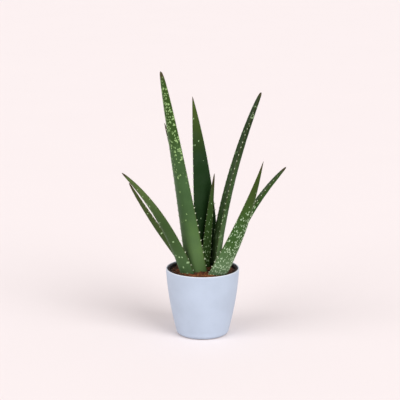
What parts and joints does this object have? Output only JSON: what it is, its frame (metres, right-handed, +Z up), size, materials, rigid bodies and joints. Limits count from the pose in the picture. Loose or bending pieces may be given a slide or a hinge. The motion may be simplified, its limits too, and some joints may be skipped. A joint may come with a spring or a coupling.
{
  "type": "potted aloe plant",
  "caption": "Aloe rosette of thick pointed leaves, rooted in soil in a nursery pot that stands in a round tapered ceramic cover pot.",
  "frame": {"origin": "centre of the cover pot's flat underside, on the pot's axis", "axes": "+Z up along the pot's axis, -Y towards the front, +X to the right seen from the front"},
  "size_m": [0.2897, 0.2592, 0.4998],
  "materials": {
    "planter_ceramic": "matte",
    "nursery_plastic": "satin",
    "potting_soil": "matte",
    "stem_tissue": "matte",
    "leaf_skin": "satin",
    "leaf_pale": "satin",
    "leaf_dark": "satin",
    "leaf_young": "satin"
  },
  "bodies": {
    "root": {"planter": "planter_ceramic", "grow_pot": "nursery_plastic", "soil": "potting_soil", "stem": "stem_tissue", "leaf_young_centre": "leaf_young", "leaf_tall_right": "leaf_skin", "leaf_dark_centre": "leaf_dark", "leaf_behind_tall_left": "leaf_skin", "leaf_tall_left": "leaf_skin", "leaf_back_right": "leaf_skin", "leaf_back_left": "leaf_skin", "leaf_front_right": "leaf_pale", "leaf_front_left": "leaf_skin"}
  },
  "joints": []
}
